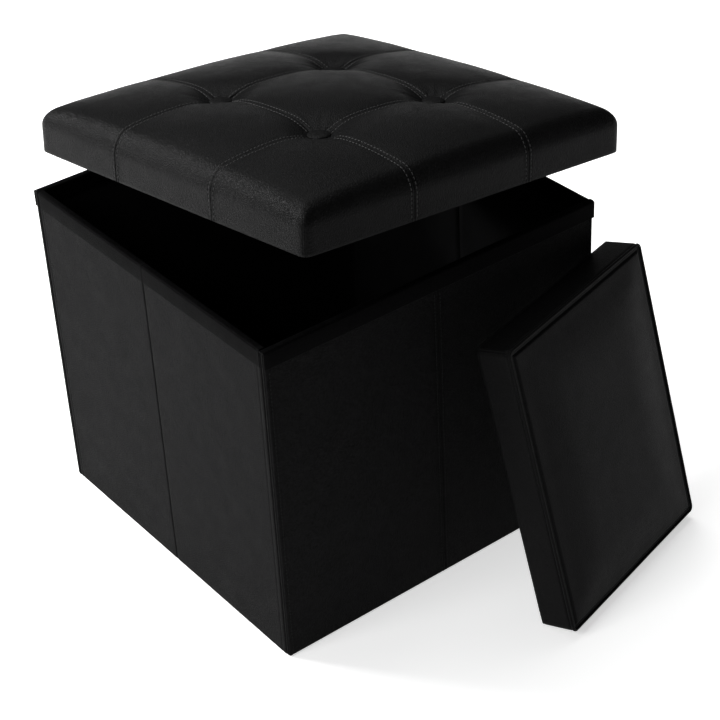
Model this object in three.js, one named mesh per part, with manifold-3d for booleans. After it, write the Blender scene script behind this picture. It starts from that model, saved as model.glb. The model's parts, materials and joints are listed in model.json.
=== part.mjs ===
// A folding storage ottoman: a square box of stiff boards covered in faux leather, a loose tufted
// lid tipped up on its back corner, and a slim padded panel that leans on the box's front wall.
// Millimetres, +Z up. The origin is the centre of the box's footprint, on the floor.
// The front wall is at -Y, the left wall at -X. The left and right walls crease inwards.
import * as THREE from 'three';
import { mergeVertices } from 'three/addons/utils/BufferGeometryUtils.js';
import Module from 'manifold-3d';

const wasm = await Module();
wasm.setup();

// Box
const BOX_WIDTH = 380;
const BOX_DEPTH = 380;
const BOX_HEIGHT = 345;
const COVER_THICKNESS = 0.9;
const BOARD_THICKNESS = 3.2;
const LINING_THICKNESS = 0.6;
const LAYER_GAP = 0.3;
const BINDING_THICKNESS = 0.9;
const BINDING_DROP = 18;
const BUTT_GAP = 0.5;
const FOLD_CLEARANCE = 0.3;
const CREASE_HALF_GAP = 0.5;
const FLOOR_CLOTH_THICKNESS = 0.8;
const FLOOR_CLOTH_CLEARANCE = 1.5;
const BOARD_LIFT = 1.2;

// Lid
const LID_OVERHANG = 3;
const LID_EDGE_HEIGHT = 46;
const LID_CROWN = 15;
const LID_CORNER_RADIUS = 12;
const LID_EDGE_RADIUS = 18;
const LID_COVER_THICKNESS = 1.5;
const LID_BOARD_THICKNESS = 6;
const LID_UNDER_CLOTH = 0.6;
const LID_SEAT_GAP = 0.5;
const LID_TIP_DEGREES = 10.5;
const LID_TIP_AXIS = [-0.59, 0.7, 0.4];
const BUTTON_SPACING = 140;
const BUTTON_RADIUS = 11;
const BUTTON_THICKNESS = 5;
const BUTTON_CLEARANCE = 2.4;
const TUFT_DEPTH = 12;
const TUFT_SEAT_RADIUS = 15;
const TUFT_SPREAD = 22;
const TIE_RADIUS = 1.2;
const TIE_HOLE_CLEARANCE = 0.6;
const TIE_WASHER_RADIUS = 8;
const TIE_WASHER_THICKNESS = 1;
const BUTTON_RIM_SHARE = 0.4;

// Loose padded panel
const PANEL_WIDTH = 225;
const PANEL_HEIGHT = 300;
const PANEL_THICKNESS = 36;
const PANEL_EDGE_RADIUS = 6;
const PANEL_CROWN = 4;
const PANEL_COVER_THICKNESS = 1.2;
const PANEL_BOARD_THICKNESS = 4;
const PANEL_BACK_CLOTH = 0.6;
const PIPING_RADIUS = 1.8;
const PANEL_LEAN_DEGREES = 14;
const PANEL_TURN_DEGREES = 15;
const PANEL_STANDOFF = 1;
const PANEL_CORNER_REACH = 25;

const WALL_THICKNESS = COVER_THICKNESS + BOARD_THICKNESS + LINING_THICKNESS + 2 * LAYER_GAP;
const BINDING_PROUD = LAYER_GAP + BINDING_THICKNESS;
const CORNER_HINGE_INSET = WALL_THICKNESS + BINDING_PROUD + FOLD_CLEARANCE;
const LID_SEGMENTS = 24;
const PANEL_SEGMENTS = 10;
const EDGE_SEGMENTS = 4;
const PIPING_SIDES = 8;
const ROUND_SIDES = 24;
const DOME_STEPS = 5;
const MERGE_DISTANCE = 1e-4;
const GRID_TOLERANCE = 1e-9;
const CUT_MARGIN = 1;
const FLUSH_MARGIN = 0.03;

const leather = { color: 0x262626, roughness: 0.5, metalness: 0 };
const smoothLeather = { color: 0x1c1c1c, roughness: 0.36, metalness: 0 };
const bindingCloth = { color: 0x161616, roughness: 0.6, metalness: 0 };
const liningCloth = { color: 0x0b0b0b, roughness: 0.95, metalness: 0 };
const fibreboard = { color: 0x8a6a45, roughness: 0.9, metalness: 0 };
const foam = { color: 0xd8cfa8, roughness: 1, metalness: 0 };
const twine = { color: 0xcfc8b8, roughness: 0.8, metalness: 0 };

function namedMesh(name, geometry, finish) {
  const mesh = new THREE.Mesh(geometry, new THREE.MeshStandardMaterial(finish));
  mesh.name = name;
  return mesh;
}

// A box given by its lowest and highest corners.
function block(low, high) {
  const size = high.map((value, axis) => value - low[axis]);
  const geometry = new THREE.BoxGeometry(size[0], size[1], size[2]);
  geometry.translate(low[0] + size[0] / 2, low[1] + size[1] / 2, low[2] + size[2] / 2);
  return geometry;
}

function solidOf(geometry) {
  const bare = geometry.clone();
  bare.deleteAttribute('normal');
  bare.deleteAttribute('uv');
  const merged = mergeVertices(bare, MERGE_DISTANCE);
  return new wasm.Manifold(new wasm.Mesh({
    numProp: 3,
    vertProperties: new Float32Array(merged.attributes.position.array),
    triVerts: new Uint32Array(merged.index.array),
  }));
}

function geometryOf(solid) {
  const mesh = solid.getMesh();
  const geometry = new THREE.BufferGeometry();
  geometry.setAttribute('position', new THREE.BufferAttribute(new Float32Array(mesh.vertProperties), 3));
  geometry.setIndex(new THREE.BufferAttribute(new Uint32Array(mesh.triVerts), 1));
  geometry.computeVertexNormals();
  return geometry;
}

function joined(...pieces) {
  const solids = pieces.map(solidOf);
  return geometryOf(solids.reduce((whole, next) => whole.add(next)));
}

function cut(body, ...tools) {
  const solids = tools.map(solidOf);
  return geometryOf(solids.reduce((rest, tool) => rest.subtract(tool), solidOf(body)));
}

// An upright cylinder between two heights.
function post(radius, x, y, low, high) {
  const geometry = new THREE.CylinderGeometry(radius, radius, high - low, ROUND_SIDES);
  geometry.rotateX(Math.PI / 2);
  geometry.translate(x, y, (low + high) / 2);
  return geometry;
}

// ---------------------------------------------------------------- box walls

// The cloth that wraps the wall's top edge: an outer leg, a top strip and an inner leg.
// innerTrim shortens the inner leg where side walls butt against this wall.
function bindingGeometry(start, end, innerTrim, overrun) {
  const drop = BOX_HEIGHT - BINDING_DROP;
  const innerFace = WALL_THICKNESS + BINDING_PROUD;
  const outerLeg = block([start - overrun, -BINDING_PROUD, drop], [end + overrun, -LAYER_GAP, BOX_HEIGHT]);
  const topStrip = block(
    [start - overrun, -BINDING_PROUD, BOX_HEIGHT - BINDING_THICKNESS],
    [end + overrun, innerFace, BOX_HEIGHT],
  );
  const innerLeg = block(
    [start + innerTrim, WALL_THICKNESS + LAYER_GAP, drop],
    [end - innerTrim, innerFace, BOX_HEIGHT],
  );
  return joined(outerLeg, topStrip, innerLeg);
}

// One stiff wall panel in its own frame: its length along X, its outer face on Y = 0, inside at +Y.
function wallPanel(name, start, end, binding) {
  const top = BOX_HEIGHT - BINDING_THICKNESS - LAYER_GAP;
  const boardOuter = COVER_THICKNESS + LAYER_GAP;
  const boardInner = boardOuter + BOARD_THICKNESS;
  const liningOuter = boardInner + LAYER_GAP;
  const panel = new THREE.Group();
  panel.add(
    namedMesh(`${name}_cover`, block([start, 0, 0], [end, COVER_THICKNESS, top]), leather),
    namedMesh(`${name}_board`, block([start, boardOuter, BOARD_LIFT], [end, boardInner, top]), fibreboard),
    namedMesh(
      `${name}_lining`,
      block([start + binding.innerTrim, liningOuter, 0], [end - binding.innerTrim, WALL_THICKNESS, top]),
      liningCloth,
    ),
    namedMesh(
      `${name}_rim_binding`,
      bindingGeometry(binding.start, binding.end, binding.innerTrim, binding.overrun),
      bindingCloth,
    ),
  );
  return panel;
}

// The front and back walls are whole and span the full width.
function wholeWall(name) {
  return wallPanel(name, -BOX_WIDTH / 2, BOX_WIDTH / 2, {
    start: -BOX_WIDTH / 2,
    end: BOX_WIDTH / 2,
    innerTrim: CORNER_HINGE_INSET,
    overrun: BINDING_PROUD,
  });
}

// Half of a creased side wall, from the corner at its start to the crease in the middle.
function halfWall(name) {
  const start = WALL_THICKNESS + BUTT_GAP;
  const end = BOX_DEPTH / 2 - CREASE_HALF_GAP;
  return wallPanel(name, start, end, {
    start: CORNER_HINGE_INSET,
    end,
    innerTrim: 0,
    overrun: 0,
  });
}

// Reflects a panel across its own X, so that a half wall can be used on the other hand.
function mirrored(panel) {
  panel.children.forEach((mesh) => {
    mesh.geometry = geometryOf(solidOf(mesh.geometry.toNonIndexed()).mirror([1, 0, 0]));
  });
  return panel;
}

function placed(item, x, y, turnDegrees) {
  item.position.set(x, y, 0);
  item.rotation.z = THREE.MathUtils.degToRad(turnDegrees);
  return item;
}

// The floor is a sewn-in sheet of cloth, so that the box can fold flat.
function floorCloth() {
  const inset = WALL_THICKNESS + FLOOR_CLOTH_CLEARANCE;
  const x = BOX_WIDTH / 2 - inset;
  const y = BOX_DEPTH / 2 - inset;
  return namedMesh('floor_cloth', block([-x, -y, 0], [x, y, FLOOR_CLOTH_THICKNESS]), liningCloth);
}

function boxBody() {
  const halfWidth = BOX_WIDTH / 2;
  const halfDepth = BOX_DEPTH / 2;
  const box = new THREE.Group();
  box.add(
    placed(wholeWall('front_wall'), 0, -halfDepth, 0),
    placed(wholeWall('back_wall'), 0, halfDepth, 180),
    placed(mirrored(halfWall('left_wall_front')), -halfWidth, -halfDepth, -90),
    placed(halfWall('left_wall_rear'), -halfWidth, halfDepth, -90),
    placed(halfWall('right_wall_front'), halfWidth, -halfDepth, 90),
    placed(mirrored(halfWall('right_wall_rear')), halfWidth, halfDepth, 90),
    floorCloth(),
  );
  return box;
}

// ---------------------------------------------------------------- padded forms

// A padded block with its open side on Z = 0: rounded edges and corners, and a crowned top.
function padGeometry(pad) {
  const { width, depth, height, cornerRadius, edgeRadius, segments, rise } = pad;
  const geometry = new THREE.BoxGeometry(width, depth, height, segments, segments, EDGE_SEGMENTS);
  geometry.translate(0, 0, height / 2);
  const points = geometry.attributes.position;
  const coreX = width / 2 - cornerRadius;
  const coreY = depth / 2 - cornerRadius;
  const coreZ = height - edgeRadius;
  for (let i = 0; i < points.count; i += 1) {
    const x = edgeBiased(points.getX(i), width / 2, cornerRadius, segments);
    const y = edgeBiased(points.getY(i), depth / 2, cornerRadius, segments);
    const z = edgeBiasedUp(points.getZ(i), height, edgeRadius);
    const nearX = THREE.MathUtils.clamp(x, -coreX, coreX);
    const nearY = THREE.MathUtils.clamp(y, -coreY, coreY);
    const nearZ = Math.min(z, coreZ);
    const out = new THREE.Vector3(
      (x - nearX) / cornerRadius,
      (y - nearY) / cornerRadius,
      (z - nearZ) / edgeRadius,
    );
    const reach = out.length();
    if (reach > 0) {
      out.divideScalar(reach);
    }
    const lift = Math.max(out.z, 0) * rise(nearX + out.x * cornerRadius, nearY + out.y * cornerRadius);
    points.setXYZ(
      i,
      nearX + out.x * cornerRadius,
      nearY + out.y * cornerRadius,
      nearZ + out.z * edgeRadius + lift,
    );
  }
  return geometry;
}

// Even grid lines are moved so that two of them fall inside the rounded edge.
function edgeBiased(value, half, radius, segments) {
  const share = value / half;
  const step = 2 / segments;
  const inner = 1 - 2 * step;
  if (Math.abs(share) <= inner + GRID_TOLERANCE) {
    return (share / inner) * (half - radius);
  }
  return Math.sign(share) * (half - radius + ((Math.abs(share) - inner) / (1 - inner)) * radius);
}

function edgeBiasedUp(value, height, radius) {
  const share = value / height;
  if (share <= 0.5) {
    return share * 2 * (height - radius);
  }
  return height - radius + (share - 0.5) * 2 * radius;
}

// ---------------------------------------------------------------- lid

const LID_WIDTH = BOX_WIDTH + 2 * LID_OVERHANG;
const LID_DEPTH = BOX_DEPTH + 2 * LID_OVERHANG;
const LID_BOARD_BOTTOM = LID_UNDER_CLOTH + TIE_WASHER_THICKNESS + 2 * LAYER_GAP;

function buttonPlaces() {
  const half = BUTTON_SPACING / 2;
  return [
    { name: 'front_left', x: -half, y: -half },
    { name: 'front_right', x: half, y: -half },
    { name: 'back_left', x: -half, y: half },
    { name: 'back_right', x: half, y: half },
  ];
}

// How far the lid's padding rises over its edge height: a crown, drawn down at each button.
function lidRise(x, y) {
  const across = 1 - (2 * x / LID_WIDTH) ** 2;
  const along = 1 - (2 * y / LID_DEPTH) ** 2;
  const crown = LID_CROWN * Math.sqrt(Math.max(across, 0) * Math.max(along, 0));
  const pulls = buttonPlaces().map((place) => {
    const distance = Math.max(Math.hypot(x - place.x, y - place.y) - TUFT_SEAT_RADIUS, 0);
    return TUFT_DEPTH * Math.exp(-((distance / TUFT_SPREAD) ** 2));
  });
  return crown - pulls.reduce((total, pull) => total + pull, 0);
}

function lidPad(inset) {
  return padGeometry({
    width: LID_WIDTH - 2 * inset,
    depth: LID_DEPTH - 2 * inset,
    height: LID_EDGE_HEIGHT - inset,
    cornerRadius: LID_CORNER_RADIUS - inset,
    edgeRadius: LID_EDGE_RADIUS - inset,
    segments: LID_SEGMENTS,
    rise: lidRise,
  });
}

function slice(geometry, bottom) {
  const reach = LID_WIDTH + LID_DEPTH;
  const keep = block([-reach, -reach, bottom], [reach, reach, reach]);
  return geometryOf(solidOf(geometry).intersect(solidOf(keep)));
}

function tieHoles(bottom, top) {
  const radius = TIE_RADIUS + TIE_HOLE_CLEARANCE;
  return buttonPlaces().map((place) => post(radius, place.x, place.y, bottom, top));
}

function lidCover() {
  const inner = lidPad(LID_COVER_THICKNESS);
  const mouthX = LID_WIDTH / 2 - LID_COVER_THICKNESS;
  const mouthY = LID_DEPTH / 2 - LID_COVER_THICKNESS;
  const radius = LID_CORNER_RADIUS;
  const mouth = block(
    [radius - mouthX, radius - mouthY, -CUT_MARGIN],
    [mouthX - radius, mouthY - radius, CUT_MARGIN],
  );
  const hollow = geometryOf(solidOf(inner).add(solidOf(mouth)));
  hollow.translate(0, 0, -FLUSH_MARGIN);
  return cut(lidPad(0), hollow, ...tieHoles(0, LID_EDGE_HEIGHT + LID_CROWN));
}

function lidFoam() {
  const bottom = LID_BOARD_BOTTOM + LID_BOARD_THICKNESS + LAYER_GAP;
  const pad = slice(lidPad(LID_COVER_THICKNESS + LAYER_GAP), bottom);
  return cut(pad, ...tieHoles(0, LID_EDGE_HEIGHT + LID_CROWN));
}

function lidBoard() {
  const inset = LID_COVER_THICKNESS + LAYER_GAP;
  const x = LID_WIDTH / 2 - inset;
  const y = LID_DEPTH / 2 - inset;
  const top = LID_BOARD_BOTTOM + LID_BOARD_THICKNESS;
  const corner = LID_CORNER_RADIUS - inset;
  const outline = new THREE.Shape();
  outline.moveTo(-x + corner, -y);
  outline.lineTo(x - corner, -y);
  outline.lineTo(x, -y + corner);
  outline.lineTo(x, y - corner);
  outline.lineTo(x - corner, y);
  outline.lineTo(-x + corner, y);
  outline.lineTo(-x, y - corner);
  outline.lineTo(-x, -y + corner);
  outline.closePath();
  const board = new THREE.ExtrudeGeometry(outline, { depth: LID_BOARD_THICKNESS, bevelEnabled: false });
  board.translate(0, 0, LID_BOARD_BOTTOM);
  return cut(board, ...tieHoles(0, top + CUT_MARGIN));
}

function lidUnderCloth() {
  const inset = LID_CORNER_RADIUS;
  const x = LID_WIDTH / 2 - inset;
  const y = LID_DEPTH / 2 - inset;
  return block([-x, -y, 0], [x, y, LID_UNDER_CLOTH]);
}

function buttonSeat(place) {
  return LID_EDGE_HEIGHT + lidRise(place.x, place.y) + BUTTON_CLEARANCE;
}

// A domed button: a low dome on a short rim, turned round its own axis.
function buttonGeometry(place) {
  const rim = BUTTON_THICKNESS * BUTTON_RIM_SHARE;
  const profile = [new THREE.Vector2(0, 0), new THREE.Vector2(BUTTON_RADIUS, 0)];
  for (let step = 0; step <= DOME_STEPS; step += 1) {
    const angle = (step / DOME_STEPS) * Math.PI / 2;
    profile.push(new THREE.Vector2(
      step === DOME_STEPS ? 0 : BUTTON_RADIUS * Math.cos(angle),
      rim + (BUTTON_THICKNESS - rim) * Math.sin(angle),
    ));
  }
  const geometry = new THREE.LatheGeometry(profile, ROUND_SIDES);
  geometry.rotateX(Math.PI / 2);
  geometry.translate(place.x, place.y, buttonSeat(place));
  return geometry;
}

// The twine that pulls a button down, with the washer that holds it under the board.
function tieGeometry(place) {
  const washerBottom = LID_UNDER_CLOTH + LAYER_GAP;
  const washerTop = washerBottom + TIE_WASHER_THICKNESS;
  const washer = post(TIE_WASHER_RADIUS, place.x, place.y, washerBottom, washerTop);
  const cord = post(TIE_RADIUS, place.x, place.y, washerBottom, buttonSeat(place) - LAYER_GAP);
  return joined(washer, cord);
}

// The lid is built seated on the box, then tipped about an axis through its lower back right corner.
// The axis slopes a little, so that the loose lid also ends up askew.
function tippedLid() {
  const lid = new THREE.Group();
  lid.add(
    namedMesh('lid_under_cloth', lidUnderCloth(), liningCloth),
    namedMesh('lid_board', lidBoard(), fibreboard),
    namedMesh('lid_foam', lidFoam(), foam),
    namedMesh('lid_cover', lidCover(), leather),
  );
  buttonPlaces().forEach((place) => {
    lid.add(namedMesh(`lid_button_${place.name}`, buttonGeometry(place), leather));
    lid.add(namedMesh(`lid_button_tie_${place.name}`, tieGeometry(place), twine));
  });
  const cornerX = LID_WIDTH / 2;
  const cornerY = LID_DEPTH / 2;
  const hinge = new THREE.Group();
  lid.position.set(-cornerX, -cornerY, 0);
  hinge.add(lid);
  hinge.position.set(cornerX, cornerY, BOX_HEIGHT + LID_SEAT_GAP);
  const axis = new THREE.Vector3(...LID_TIP_AXIS).normalize();
  hinge.quaternion.setFromAxisAngle(axis, THREE.MathUtils.degToRad(LID_TIP_DEGREES));
  return hinge;
}

// ---------------------------------------------------------------- loose padded panel

// The big face is flat beside the piping and swells towards its middle.
function panelRise(x, y) {
  const across = 1 - (x / (PANEL_WIDTH / 2 - 2 * PANEL_EDGE_RADIUS)) ** 2;
  const along = 1 - (y / (PANEL_HEIGHT / 2 - 2 * PANEL_EDGE_RADIUS)) ** 2;
  return PANEL_CROWN * Math.max(across, 0) * Math.max(along, 0);
}

function panelPad(inset) {
  return padGeometry({
    width: PANEL_WIDTH - 2 * inset,
    depth: PANEL_HEIGHT - 2 * inset,
    height: PANEL_THICKNESS - inset,
    cornerRadius: PANEL_EDGE_RADIUS - inset,
    edgeRadius: PANEL_EDGE_RADIUS - inset,
    segments: PANEL_SEGMENTS,
    rise: panelRise,
  });
}

function panelCover() {
  const hollow = panelPad(PANEL_COVER_THICKNESS);
  hollow.translate(0, 0, -FLUSH_MARGIN);
  return cut(panelPad(0), hollow);
}

function panelBoard() {
  const inset = PANEL_EDGE_RADIUS;
  const x = PANEL_WIDTH / 2 - inset;
  const y = PANEL_HEIGHT / 2 - inset;
  const bottom = PANEL_BACK_CLOTH + LAYER_GAP;
  return block([-x, -y, bottom], [x, y, bottom + PANEL_BOARD_THICKNESS]);
}

function panelFoam() {
  const bottom = PANEL_BACK_CLOTH + PANEL_BOARD_THICKNESS + 2 * LAYER_GAP;
  return slice(panelPad(PANEL_COVER_THICKNESS + LAYER_GAP), bottom);
}

function panelBackCloth() {
  const inset = PANEL_EDGE_RADIUS;
  const x = PANEL_WIDTH / 2 - inset;
  const y = PANEL_HEIGHT / 2 - inset;
  return block([-x, -y, 0], [x, y, PANEL_BACK_CLOTH]);
}

// The piping runs round the edge between the big face and the sides, in the hollow of the rounding.
function panelPiping() {
  const reach = (PANEL_EDGE_RADIUS + LAYER_GAP + PIPING_RADIUS) * Math.SQRT1_2;
  const x = PANEL_WIDTH / 2 - PANEL_EDGE_RADIUS + reach;
  const y = PANEL_HEIGHT / 2 - PANEL_EDGE_RADIUS + reach;
  const z = PANEL_THICKNESS - PANEL_EDGE_RADIUS + reach;
  const pieces = [];
  [-1, 1].forEach((side) => {
    const alongX = new THREE.CylinderGeometry(PIPING_RADIUS, PIPING_RADIUS, 2 * x, PIPING_SIDES);
    alongX.rotateZ(Math.PI / 2);
    alongX.translate(0, side * y, z);
    const alongY = new THREE.CylinderGeometry(PIPING_RADIUS, PIPING_RADIUS, 2 * y, PIPING_SIDES);
    alongY.translate(side * x, 0, z);
    pieces.push(alongX, alongY);
    [-1, 1].forEach((end) => {
      const corner = new THREE.SphereGeometry(PIPING_RADIUS, 2 * PIPING_SIDES, PIPING_SIDES);
      corner.translate(side * x, end * y, z);
      pieces.push(corner);
    });
  });
  return joined(...pieces);
}

// The panel is built lying on its back, stood on its lower edge, leant back and turned.
function leaningPanel() {
  const panel = new THREE.Group();
  panel.add(
    namedMesh('panel_back_cloth', panelBackCloth(), liningCloth),
    namedMesh('panel_board', panelBoard(), fibreboard),
    namedMesh('panel_foam', panelFoam(), foam),
    namedMesh('panel_cover', panelCover(), smoothLeather),
    namedMesh('panel_piping', panelPiping(), smoothLeather),
  );
  panel.rotation.x = Math.PI / 2;
  panel.position.z = PANEL_HEIGHT / 2;
  const stand = new THREE.Group();
  stand.add(panel);
  const lean = THREE.MathUtils.degToRad(PANEL_LEAN_DEGREES);
  const turn = THREE.MathUtils.degToRad(PANEL_TURN_DEGREES);
  stand.rotation.set(-lean, 0, 0);
  const turned = new THREE.Group();
  turned.add(stand);
  turned.rotation.z = turn;
  // The panel's back leans on the box's front right corner, PANEL_CORNER_REACH from its edge.
  const alongPanel = PANEL_WIDTH / 2 - PANEL_CORNER_REACH;
  const leanReach = PANEL_HEIGHT * Math.sin(lean) + PANEL_STANDOFF;
  const cornerX = BOX_WIDTH / 2 + BINDING_PROUD;
  const cornerY = -BOX_DEPTH / 2 - BINDING_PROUD;
  turned.position.set(
    cornerX - alongPanel * Math.cos(turn) + leanReach * Math.sin(turn),
    cornerY - alongPanel * Math.sin(turn) - leanReach * Math.cos(turn),
    0,
  );
  return turned;
}

const ottoman = new THREE.Group();
ottoman.add(boxBody(), tippedLid(), leaningPanel());

export default ottoman;
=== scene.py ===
"""Looks of the folding storage ottoman: faux-leather box walls, tufted lid and loose padded panel.

Everything is in metres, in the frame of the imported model: +Z up, the box's front wall at -Y and its
creased left wall at -X. The lid stands tipped up on its back corner.
"""

import math
import random

import bpy
import numpy as np
from mathutils import Matrix, Vector, noise
from mathutils.kdtree import KDTree
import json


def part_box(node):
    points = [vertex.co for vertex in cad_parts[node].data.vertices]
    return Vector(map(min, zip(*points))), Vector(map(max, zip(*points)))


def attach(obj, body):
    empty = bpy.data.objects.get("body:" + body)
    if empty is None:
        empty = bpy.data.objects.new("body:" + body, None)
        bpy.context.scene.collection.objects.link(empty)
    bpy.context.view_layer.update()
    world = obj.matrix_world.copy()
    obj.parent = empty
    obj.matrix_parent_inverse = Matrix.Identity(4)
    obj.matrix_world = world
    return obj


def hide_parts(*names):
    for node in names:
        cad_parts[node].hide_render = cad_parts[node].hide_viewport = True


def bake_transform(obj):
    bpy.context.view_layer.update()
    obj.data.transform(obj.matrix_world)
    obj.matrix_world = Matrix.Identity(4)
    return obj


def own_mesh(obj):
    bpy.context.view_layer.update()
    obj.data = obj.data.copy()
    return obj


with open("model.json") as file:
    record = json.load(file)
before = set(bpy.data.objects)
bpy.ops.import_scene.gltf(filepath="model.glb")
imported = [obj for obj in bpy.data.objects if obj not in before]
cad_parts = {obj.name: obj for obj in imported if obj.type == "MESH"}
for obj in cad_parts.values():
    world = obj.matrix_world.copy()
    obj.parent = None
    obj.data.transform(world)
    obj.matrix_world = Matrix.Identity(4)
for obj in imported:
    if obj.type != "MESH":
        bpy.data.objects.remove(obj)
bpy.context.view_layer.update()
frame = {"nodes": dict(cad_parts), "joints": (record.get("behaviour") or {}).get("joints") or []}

MM = 0.001
WALLS = (
    "front_wall", "back_wall",
    "left_wall_front", "left_wall_rear",
    "right_wall_front", "right_wall_rear",
)
SHEET = 0.9 * MM
CREASE_GAP = 0.35 * MM
SEAM_ROW_OFFSET = 3.2 * MM
STITCH_LENGTH = 3.0 * MM
STITCH_GAP = 1.1 * MM
STITCH_RADIUS = 0.45 * MM
BINDING_PROUD = 1.2 * MM
LID_SIDE = 386 * MM
LID_SIDE_SEAMS = 70 * MM
LID_HEM = 26 * MM
LID_CLOTH_HALF = 181 * MM - 8 * MM
LID_EDGE_HEIGHT = 39 * MM
LID_CROWN = 24 * MM
PANEL_SIZE = (225 * MM, 300 * MM, 36 * MM)
PANEL_LEAN = math.radians(14)
PANEL_TURN = math.radians(15)
PANEL_BOARD_MIDDLE = 2.9 * MM
PANEL_HEM = 14 * MM
CLOTH_FRAMES = 20
VIEW_AZIMUTH = math.radians(-36.2)
VIEW_ELEVATION = math.radians(34.2)
VIEW_ROLL = math.radians(-3.2)
VIEW_DISTANCE = 1.977
VIEW_TARGET = (0.03, -0.02, 0.22)
VIEW_SHIFT = (0.0069, -0.0568)


# ------------------------------------------------------------------ small helpers

def deselect_all():
    bpy.ops.object.select_all(action="DESELECT")


def only(piece):
    deselect_all()
    piece.select_set(True)
    bpy.context.view_layer.objects.active = piece


def mesh_piece(name, points, faces, smooth=True):
    """A new object at the origin from points and faces."""
    mesh = bpy.data.meshes.new(name)
    mesh.from_pydata([tuple(p) for p in points], [], faces)
    mesh.update()
    piece = bpy.data.objects.new(name, mesh)
    bpy.context.scene.collection.objects.link(piece)
    if smooth:
        mesh.polygons.foreach_set("use_smooth", [True] * len(mesh.polygons))
    return piece


def face_outwards(piece):
    only(piece)
    bpy.ops.object.mode_set(mode="EDIT")
    bpy.ops.mesh.select_all(action="SELECT")
    bpy.ops.mesh.remove_doubles(threshold=1e-6)
    bpy.ops.mesh.normals_make_consistent(inside=False)
    bpy.ops.object.mode_set(mode="OBJECT")


def apply_modifiers(piece):
    only(piece)
    for modifier in list(piece.modifiers):
        bpy.ops.object.modifier_apply(modifier=modifier.name)


def place_in_mesh(piece, matrix):
    piece.data.transform(matrix)
    piece.matrix_world = Matrix.Identity(4)


def copy_of(model, name, matrix):
    """Another piece of the same shape as the model, put where the matrix says."""
    piece = model.copy()
    piece.data = model.data.copy()
    piece.name = name
    bpy.context.collection.objects.link(piece)
    place_in_mesh(piece, matrix)
    return piece


def finish_piece(piece, material, body=None, replaces=()):
    piece.data.materials.clear()
    piece.data.materials.append(material)
    if body:
        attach(piece, body)
    if replaces:
        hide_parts(*replaces)
    return piece


def ripple(point, scale, seed=0.0):
    """Smooth noise from -1 to 1 whose waves are about scale long."""
    return noise.noise(Vector(point) / scale + Vector((seed, seed * 1.7, seed * 0.3)))


def spaced(start, end, step, fine_at=(), fine_reach=7 * MM, fine_step=0.8 * MM):
    """Positions from start to end, closer together round each place in fine_at."""
    places = set(np.linspace(start, end, max(2, round((end - start) / step) + 1)).round(7))
    for middle in fine_at:
        low, high = max(start, middle - fine_reach), min(end, middle + fine_reach)
        if high > low:
            places |= set(np.linspace(low, high, round((high - low) / fine_step) + 1).round(7))
    ordered = sorted(places)
    kept = [ordered[0]]
    for place in ordered[1:]:
        if place - kept[-1] > 0.25 * fine_step:
            kept.append(place)
    kept[-1] = ordered[-1]
    return kept


# ------------------------------------------------------------------ materials

def new_material(name):
    material = bpy.data.materials.new(name)
    material.use_nodes = True
    tree = material.node_tree
    shader = tree.nodes["Principled BSDF"]
    return material, tree, shader


def node(tree, kind, inputs=None, **settings):
    made = tree.nodes.new(kind)
    for key, value in settings.items():
        setattr(made, key, value)
    for key, value in (inputs or {}).items():
        made.inputs[key].default_value = value
    return made


def object_place(tree):
    return node(tree, "ShaderNodeTexCoord").outputs["Object"]


def ramp(tree, factor, stops):
    made = node(tree, "ShaderNodeValToRGB")
    band = made.color_ramp
    while len(band.elements) < len(stops):
        band.elements.new(0.5)
    for element, (place, value) in zip(band.elements, stops):
        element.position = place
        element.color = (*value, 1) if isinstance(value, tuple) else (value, value, value, 1)
    tree.links.new(factor, made.inputs["Fac"])
    return made.outputs["Color"]


def mixed(tree, first, second, factor, **settings):
    """First and second mixed by a constant share; plain numbers unless the settings say colours."""
    settings.setdefault("data_type", "FLOAT")
    made = node(tree, "ShaderNodeMix", {"Factor": factor}, **settings)
    tree.links.new(first, made.inputs["A"])
    tree.links.new(second, made.inputs["B"])
    return made.outputs["Result"]


def bumped(tree, height, strength, distance, below=None):
    made = node(tree, "ShaderNodeBump", {"Strength": strength, "Distance": distance})
    tree.links.new(height, made.inputs["Height"])
    if below:
        tree.links.new(below, made.inputs["Normal"])
    return made.outputs["Normal"]


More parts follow.
